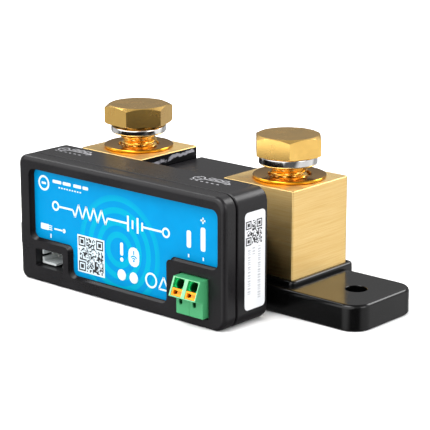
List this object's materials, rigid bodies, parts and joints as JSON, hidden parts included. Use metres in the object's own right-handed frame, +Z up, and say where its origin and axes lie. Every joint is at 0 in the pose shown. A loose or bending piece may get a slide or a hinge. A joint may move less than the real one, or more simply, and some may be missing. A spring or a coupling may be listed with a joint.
{
  "type": "battery monitor shunt",
  "caption": "Current shunt with two bolted brass terminal blocks on a two-ear moulded base and a slim electronics enclosure with data port and plug-in terminal.",
  "frame": {"origin": "centre of the base underside, midway between the two ear holes", "axes": "+X along the length towards the battery-side block, -Y out of the labelled front, +Z up through the terminal bolts"},
  "size_m": [0.12, 0.0525, 0.0421],
  "materials": {
    "brass": "fine brushed, satin",
    "gold_washer": "polished",
    "spring_steel": "bright plated",
    "screw_steel": "zinc plated",
    "manganin": "satin, slightly pinkish resistance alloy",
    "enclosure": "satin black moulding",
    "base": "glossy black moulding",
    "label": "satin printed film, blue",
    "side_label": "satin printed film, white",
    "plug_green": "satin",
    "lever_orange": "satin",
    "socket_white": "satin",
    "board": "solder-mask green",
    "chip": "moulded epoxy",
    "tinned": "tinned",
    "ferrite": "sintered ferrite",
    "fuse_ceramic": "satin",
    "light_guide": "clear frosted"
  },
  "bodies": {
    "shunt_body": {"base_tray": "base", "base_screw_1": "screw_steel", "base_screw_2": "screw_steel", "base_screw_3": "screw_steel", "base_screw_4": "screw_steel", "load_block": "brass", "battery_block": "brass", "resistor_strip_1": "manganin", "resistor_strip_2": "manganin", "resistor_strip_3": "manganin", "resistor_strip_4": "manganin", "middle_cover": "enclosure", "rear_housing": "enclosure", "front_cover": "enclosure", "front_label": "label", "side_label": "side_label", "circuit_board": "board", "processor_chip": "chip", "radio_module": "tinned", "sense_amplifier": "chip", "power_inductor": "ferrite", "timing_crystal": "tinned", "input_fuse": "fuse_ceramic", "smoothing_capacitor_1": "tinned", "smoothing_capacitor_2": "tinned", "indicator_led_1": "light_guide", "indicator_led_2": "light_guide", "light_pipe_1": "light_guide", "light_pipe_2": "light_guide", "load_sense_post": "brass", "battery_sense_post": "brass", "load_sense_screw": "screw_steel", "battery_sense_screw": "screw_steel", "data_pin_1": "tinned", "data_pin_2": "tinned", "data_pin_3": "tinned", "data_pin_4": "tinned", "data_socket": "socket_white", "terminal_header": "plug_green", "header_pin_1": "tinned", "header_pin_2": "tinned"},
    "load_washer_body": {"load_flat_washer": "gold_washer"},
    "battery_washer_body": {"battery_flat_washer": "gold_washer"},
    "load_spring_body": {"load_spring_washer": "spring_steel"},
    "battery_spring_body": {"battery_spring_washer": "spring_steel"},
    "load_bolt_body": {"load_bolt": "brass"},
    "battery_bolt_body": {"battery_bolt": "brass"},
    "plug_body": {"terminal_plug": "plug_green", "contact_clamp_1": "tinned", "contact_clamp_2": "tinned"},
    "lever_body_1": {"release_lever_1": "lever_orange"},
    "lever_body_2": {"release_lever_2": "lever_orange"}
  },
  "joints": [
    {"name": "load_washer_lift", "type": "slide", "parent": "shunt_body", "child": "load_washer_body", "axis": [0, 0, 1], "range_m": [0, 0.0028]},
    {"name": "load_bolt_travel", "type": "slide", "parent": "shunt_body", "child": "load_spring_body", "axis": [0, 0, 1], "range_m": [-0.003, 0.0135]},
    {"name": "load_bolt_turn", "type": "hinge", "parent": "load_spring_body", "child": "load_bolt_body", "pos_m": [-0.0259, 0.0033, 0.036], "axis": [0, 0, 1], "range_deg": [-721, 3241]},
    {"name": "battery_washer_lift", "type": "slide", "parent": "shunt_body", "child": "battery_washer_body", "axis": [0, 0, 1], "range_m": [0, 0.0021]},
    {"name": "battery_bolt_travel", "type": "slide", "parent": "shunt_body", "child": "battery_spring_body", "axis": [0, 0, 1], "range_m": [-0.00225, 0.0135]},
    {"name": "battery_bolt_turn", "type": "hinge", "parent": "battery_spring_body", "child": "battery_bolt_body", "pos_m": [0.0259, 0.0033, 0.036], "axis": [0, 0, 1], "range_deg": [-541, 3241]},
    {"name": "plug_withdraw", "type": "slide", "parent": "shunt_body", "child": "plug_body", "axis": [0, -1, 0], "range_m": [0, 0.012]},
    {"name": "lever_press_1", "type": "slide", "parent": "plug_body", "child": "lever_body_1", "axis": [0, 0.9242, -0.3818], "range_m": [0, 0.0008], "stiffness_N_per_m": 200, "springref_m": -0.001},
    {"name": "lever_press_2", "type": "slide", "parent": "plug_body", "child": "lever_body_2", "axis": [0, 0.9242, -0.3818], "range_m": [0, 0.0008], "stiffness_N_per_m": 200, "springref_m": -0.001}
  ],
  "couplings": [
    {"joint": "load_bolt_turn", "follows": "load_bolt_travel", "rad_per_m": 4188.8},
    {"joint": "battery_bolt_turn", "follows": "battery_bolt_travel", "rad_per_m": 4188.8}
  ]
}
